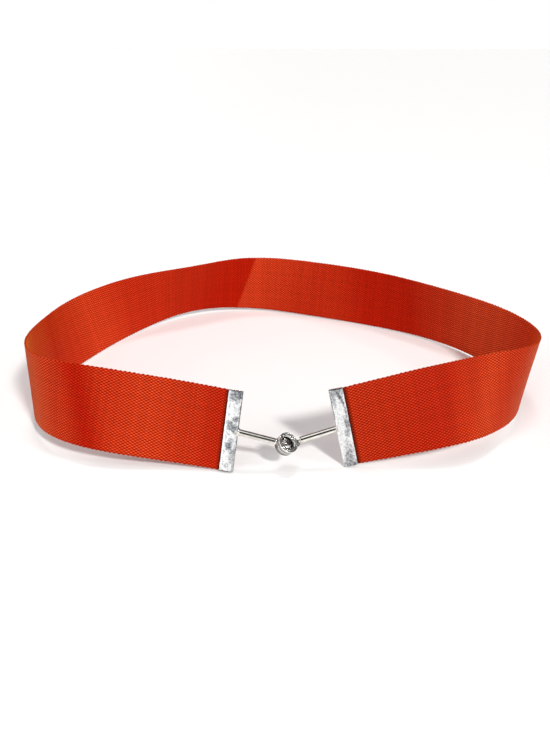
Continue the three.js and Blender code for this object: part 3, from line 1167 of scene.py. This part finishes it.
# The stone: a round brilliant, drawn as rings of corners and closed by its own hull
stone = {
    "radius": 2.6 * mm,
    "tableRadius": 1.5 * mm,
    "crown": 0.9 * mm,
    "girdle": 0.15 * mm,
    "pavilion": 1.45 * mm,
    "belowRim": 1.3 * mm,
    "colour": (0.97, 0.91, 0.9),
    "roughness": 0.02,
    "refraction": 2.1,
}


def makeStone():
    r, crown = stone["radius"], stone["crown"]
    under = -stone["girdle"]
    # corners, how far they are turned in corner steps, radius and height
    rings = [
        (8, 0.0, stone["tableRadius"], crown),
        (8, 0.5, r * 0.8, crown * 0.5),
        (16, 0.0, r, 0),
        (16, 0.0, r, under),
        (8, 0.5, r * 0.5, under - stone["pavilion"] * 0.56),
        (8, 0.0, r * 0.14, under - stone["pavilion"]),
    ]
    centre = setting["centre"] + faceWay * (setting["half"] - stone["belowRim"])
    spin = faceWay.to_track_quat("Z", "Y").to_matrix()
    work = bmesh.new()
    for corners, shift, radius, height in rings:
        for j in range(corners):
            angle = 2 * math.pi * (j + shift) / corners
            corner = Vector((radius * math.cos(angle), radius * math.sin(angle), height))
            work.verts.new(centre + spin @ corner)
    bmesh.ops.convex_hull(work, input=work.verts)
    bmesh.ops.recalc_face_normals(work, faces=work.faces)
    mesh = bpy.data.meshes.new("cut_stone")
    work.to_mesh(mesh)
    work.free()
    obj = bpy.data.objects.new("cut_stone", mesh)
    scene.collection.objects.link(obj)
    material, _, shader = newMaterial("clearCutStone")
    shader.inputs["Base Color"].default_value = (*stone["colour"], 1)
    shader.inputs["Roughness"].default_value = stone["roughness"]
    shader.inputs["IOR"].default_value = stone["refraction"]
    shader.inputs["Transmission Weight"].default_value = 1
    mesh.materials.append(material)
    return dress(obj, "crystal", "crystal")


makeStone()
print("belt: stone cut")


# The table, the room's light and four lamps. A lamp's turn is from the front to the right, in degrees.
table = {"reach": 12.0, "colour": (0.9, 0.9, 0.9), "roughness": 0.45, "specular": 0.25}
lamps = [
    {"name": "keyLamp", "turn": 33, "height": 41, "power": 2.5, "spread": 8, "colour": (1, 0.985, 0.96)},
    {"name": "sideLamp", "turn": 72, "height": 32, "power": 0.45, "spread": 6, "colour": (1, 0.98, 0.96)},
    {"name": "backLamp", "turn": 180, "height": 74, "power": 0.62, "spread": 12, "colour": (1, 0.99, 0.98)},
    {"name": "fillLamp", "turn": -37, "height": 40, "power": 0.2, "spread": 14, "colour": (0.95, 0.97, 1)},
]
room = {
    "side": 0.52,
    "ceiling": 0.04,
    "ceilingReach": (0.25, 0.7),
    "leftGain": 3.0,  # the wall to the left is that much brighter
    "panelWay": (0, -0.15, 0.989),  # a bright patch overhead
    "panelReach": (0.9, 0.95),
    "panel": 1.1,
    "glowWay": (-0.25, -0.96, 0.1),  # a bright patch low in front, that the left clamp mirrors
    "glowReach": (0.93, 0.985),
    "glow": 0.5,
    "darkWay": (0, -0.88, 0.47),  # the dark shape in front, where the photographer stands
    "darkReach": (0.87, 0.97),
    "darkShare": 0.93,
}


def makeTable():
    r = table["reach"]
    corners = [(-r, -r, 0), (r, -r, 0), (r, r, 0), (-r, r, 0)]
    top = newPiece("table_top", corners, [(0, 1, 2, 3)], smooth=False)
    material, _, shader = newMaterial("whiteTable")
    shader.inputs["Base Color"].default_value = (*table["colour"], 1)
    shader.inputs["Roughness"].default_value = table["roughness"]
    shader.inputs["Specular IOR Level"].default_value = table["specular"]
    top.data.materials.append(material)


def makeLamp(look):
    data = bpy.data.lights.new(look["name"], "SUN")
    data.energy = look["power"]
    data.angle = math.radians(look["spread"])
    data.color = look["colour"]
    lamp = bpy.data.objects.new(look["name"], data)
    lamp.rotation_euler = wayOf(look["turn"], look["height"]).to_track_quat("Z", "Y").to_euler()
    scene.collection.objects.link(lamp)


def makeRoom():
    world = bpy.data.worlds.new("paleRoom")
    world.use_nodes = True
    scene.world = world
    tree = world.node_tree
    back = tree.nodes["Background"]
    direction = addNode(tree, "ShaderNodeTexCoord").outputs["Generated"]
    alongX, _, alongZ = splitVector(tree, direction)
    light = remap(tree, alongZ, *room["ceilingReach"], room["side"], room["ceiling"], smooth=True)
    light = times(tree, light, remap(tree, alongX, -1, 0, 1 + room["leftGain"], 1))

    # a round patch of the room: its value outside and inside
    def patchOf(label, outside, inside):
        towards = addNode(tree, "ShaderNodeVectorMath", {0: direction, 1: room[label + "Way"]},
                          operation="DOT_PRODUCT")
        return remap(tree, towards.outputs["Value"], *room[label + "Reach"], outside, inside, smooth=True)

    light = calc(tree, "ADD", light, patchOf("panel", 0, room["panel"]))
    light = calc(tree, "ADD", light, patchOf("glow", 0, room["glow"]))
    light = times(tree, light, patchOf("dark", 1, 1 - room["darkShare"]))
    seen = addNode(tree, "ShaderNodeLightPath").outputs["Is Camera Ray"]
    tree.links.new(calc(tree, "MAXIMUM", light, seen), back.inputs["Strength"])
    back.inputs["Color"].default_value = (1, 1, 1, 1)


makeTable()
for look in lamps:
    makeLamp(look)
makeRoom()
scene.view_settings.view_transform = "Standard"
print("belt: table and light set")
